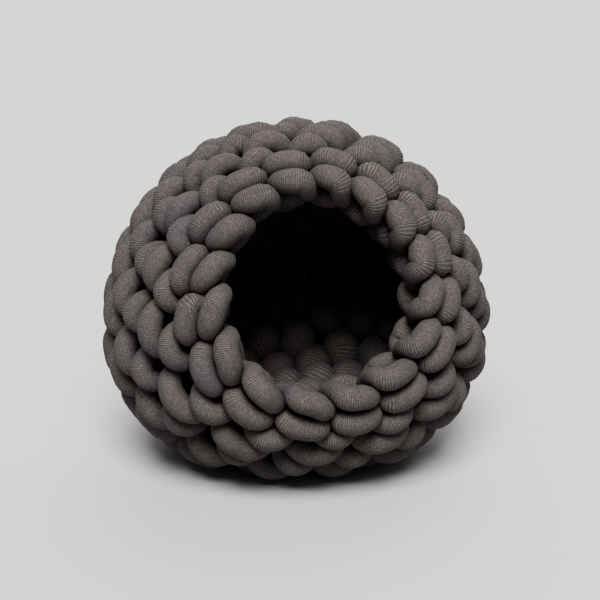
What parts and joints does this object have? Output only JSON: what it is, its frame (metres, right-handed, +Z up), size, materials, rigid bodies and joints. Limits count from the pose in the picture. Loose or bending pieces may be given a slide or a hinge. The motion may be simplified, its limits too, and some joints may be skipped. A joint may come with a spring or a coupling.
{
  "type": "cat cocoon bed",
  "caption": "Ball-shaped pet cave worked in the round from one thick stuffed jersey tube, with a round mouth at the front and a flat settled base.",
  "frame": {"origin": "centre of the bounding box on the floor, under the middle of the flat base", "axes": "+Z up; the mouth faces -Y and leans back a little; X runs across the mouth"},
  "size_m": [0.4682, 0.443, 0.4169],
  "materials": {
    "grey_jersey": "matte stuffed cotton jersey tube, finely ribbed round the tube, warm grey"
  },
  "bodies": {
    "root": {"cocoon": "grey_jersey"}
  },
  "joints": []
}
